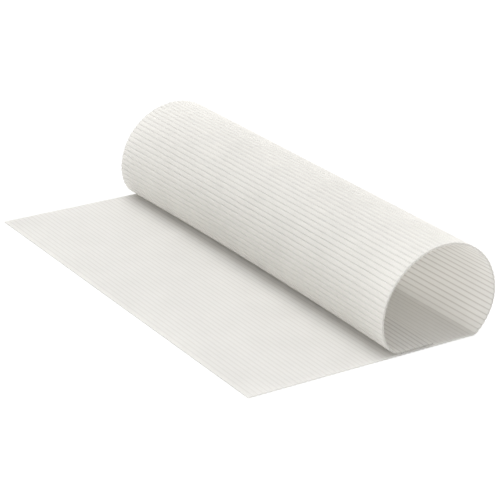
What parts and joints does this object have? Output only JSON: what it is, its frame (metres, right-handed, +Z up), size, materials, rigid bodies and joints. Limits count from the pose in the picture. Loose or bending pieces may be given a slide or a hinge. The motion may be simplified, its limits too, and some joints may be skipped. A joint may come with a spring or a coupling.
{
  "type": "swiss roll mat",
  "caption": "Ribbed flexible silicone sheet, flat in front and rolled behind into an open tube with its end tucked in; it unrolls flat and shapes rolled sponge.",
  "frame": {"origin": "middle of the mat's footprint as it stands rolled, on the table", "axes": "+X along the ribs and the roll, +Y from the front edge of the apron to the back of the roll, +Z up"},
  "size_m": [0.3, 0.1669, 0.0616],
  "materials": {
    "silicone": "milky translucent silicone, moulded satin"
  },
  "bodies": {
    "base_panel": {"base_panel": "silicone"},
    "apron_strip_01": {"apron_strip_01": "silicone"},
    "apron_strip_02": {"apron_strip_02": "silicone"},
    "apron_strip_03": {"apron_strip_03": "silicone"},
    "apron_strip_04": {"apron_strip_04": "silicone"},
    "apron_strip_05": {"apron_strip_05": "silicone"},
    "wrap_strip_01": {"wrap_strip_01": "silicone"},
    "wrap_strip_02": {"wrap_strip_02": "silicone"},
    "wrap_strip_03": {"wrap_strip_03": "silicone"},
    "wrap_strip_04": {"wrap_strip_04": "silicone"},
    "wrap_strip_05": {"wrap_strip_05": "silicone"},
    "wrap_strip_06": {"wrap_strip_06": "silicone"},
    "wrap_strip_07": {"wrap_strip_07": "silicone"},
    "wrap_strip_08": {"wrap_strip_08": "silicone"},
    "wrap_strip_09": {"wrap_strip_09": "silicone"},
    "tuck_strip_01": {"tuck_strip_01": "silicone"},
    "tuck_strip_02": {"tuck_strip_02": "silicone"},
    "tuck_strip_03": {"tuck_strip_03": "silicone"},
    "tail_panel": {"tail_panel": "silicone"}
  },
  "joints": [
    {"name": "roll_open", "type": "hinge", "parent": "base_panel", "child": "wrap_strip_01", "pos_m": [0, 0.06996, 0.0011], "axis": [-1, 0, 0], "range_deg": [0, 51.04]},
    {"name": "fold_wrap_02", "type": "hinge", "parent": "wrap_strip_01", "child": "wrap_strip_02", "pos_m": [0, 0.08002, 0.01354], "axis": [-1, 0, 0], "range_deg": [0, 30.34]},
    {"name": "fold_wrap_03", "type": "hinge", "parent": "wrap_strip_02", "child": "wrap_strip_03", "pos_m": [0, 0.08242, 0.02936], "axis": [-1, 0, 0], "range_deg": [0, 28.73]},
    {"name": "fold_wrap_04", "type": "hinge", "parent": "wrap_strip_03", "child": "wrap_strip_04", "pos_m": [0, 0.07692, 0.04439], "axis": [-1, 0, 0], "range_deg": [0, 26.11]},
    {"name": "fold_wrap_05", "type": "hinge", "parent": "wrap_strip_04", "child": "wrap_strip_05", "pos_m": [0, 0.06537, 0.05546], "axis": [-1, 0, 0], "range_deg": [0, 25.15]},
    {"name": "fold_wrap_06", "type": "hinge", "parent": "wrap_strip_05", "child": "wrap_strip_06", "pos_m": [0, 0.05021, 0.06057], "axis": [-1, 0, 0], "range_deg": [0, 23.74]},
    {"name": "fold_wrap_07", "type": "hinge", "parent": "wrap_strip_06", "child": "wrap_strip_07", "pos_m": [0, 0.03427, 0.05915], "axis": [-1, 0, 0], "range_deg": [0, 21.82]},
    {"name": "fold_wrap_08", "type": "hinge", "parent": "wrap_strip_07", "child": "wrap_strip_08", "pos_m": [0, 0.02001, 0.0519], "axis": [-1, 0, 0], "range_deg": [0, 22.51]},
    {"name": "fold_wrap_09", "type": "hinge", "parent": "wrap_strip_08", "child": "wrap_strip_09", "pos_m": [0, 0.0096, 0.03975], "axis": [-1, 0, 0], "range_deg": [0, 23.51]},
    {"name": "fold_tuck_01", "type": "hinge", "parent": "wrap_strip_09", "child": "tuck_strip_01", "pos_m": [0, 0.00491, 0.02445], "axis": [-1, 0, 0], "range_deg": [0, 20.49]},
    {"name": "fold_tuck_02", "type": "hinge", "parent": "tuck_strip_01", "child": "tuck_strip_02", "pos_m": [0, 0.00548, 0.01487], "axis": [-1, 0, 0], "range_deg": [0, 22.8]},
    {"name": "fold_tuck_03", "type": "hinge", "parent": "tuck_strip_02", "child": "tuck_strip_03", "pos_m": [0, 0.00973, 0.00626], "axis": [-1, 0, 0], "range_deg": [0, 40.72]},
    {"name": "fold_tail", "type": "hinge", "parent": "tuck_strip_03", "child": "tail_panel", "pos_m": [0, 0.01856, 0.0025], "axis": [-1, 0, 0], "range_deg": [0, 23.05]},
    {"name": "apron_curl", "type": "hinge", "parent": "base_panel", "child": "apron_strip_01", "pos_m": [0, -0.00364, 0.0011], "axis": [-1, 0, 0], "range_deg": [0, 28]},
    {"name": "fold_apron_02", "type": "hinge", "parent": "apron_strip_01", "child": "apron_strip_02", "pos_m": [0, -0.01964, 0.0011], "axis": [-1, 0, 0], "range_deg": [0, 28]},
    {"name": "fold_apron_03", "type": "hinge", "parent": "apron_strip_02", "child": "apron_strip_03", "pos_m": [0, -0.03564, 0.0011], "axis": [-1, 0, 0], "range_deg": [0, 28]},
    {"name": "fold_apron_04", "type": "hinge", "parent": "apron_strip_03", "child": "apron_strip_04", "pos_m": [0, -0.05164, 0.0011], "axis": [-1, 0, 0], "range_deg": [0, 28]},
    {"name": "fold_apron_05", "type": "hinge", "parent": "apron_strip_04", "child": "apron_strip_05", "pos_m": [0, -0.06764, 0.0011], "axis": [-1, 0, 0], "range_deg": [0, 28]}
  ],
  "couplings": [
    {"joint": "fold_wrap_02", "follows": "roll_open", "ratio": 0.59434},
    {"joint": "fold_wrap_03", "follows": "roll_open", "ratio": 0.56284},
    {"joint": "fold_wrap_04", "follows": "roll_open", "ratio": 0.51157},
    {"joint": "fold_wrap_05", "follows": "roll_open", "ratio": 0.49268},
    {"joint": "fold_wrap_06", "follows": "roll_open", "ratio": 0.46514},
    {"joint": "fold_wrap_07", "follows": "roll_open", "ratio": 0.42755},
    {"joint": "fold_wrap_08", "follows": "roll_open", "ratio": 0.44099},
    {"joint": "fold_wrap_09", "follows": "roll_open", "ratio": 0.46065},
    {"joint": "fold_tuck_01", "follows": "roll_open", "ratio": 0.40137},
    {"joint": "fold_tuck_02", "follows": "roll_open", "ratio": 0.44673},
    {"joint": "fold_tuck_03", "follows": "roll_open", "ratio": 0.79771},
    {"joint": "fold_tail", "follows": "roll_open", "ratio": 0.45169},
    {"joint": "fold_apron_02", "follows": "apron_curl", "ratio": 1},
    {"joint": "fold_apron_03", "follows": "apron_curl", "ratio": 1},
    {"joint": "fold_apron_04", "follows": "apron_curl", "ratio": 1},
    {"joint": "fold_apron_05", "follows": "apron_curl", "ratio": 1}
  ]
}
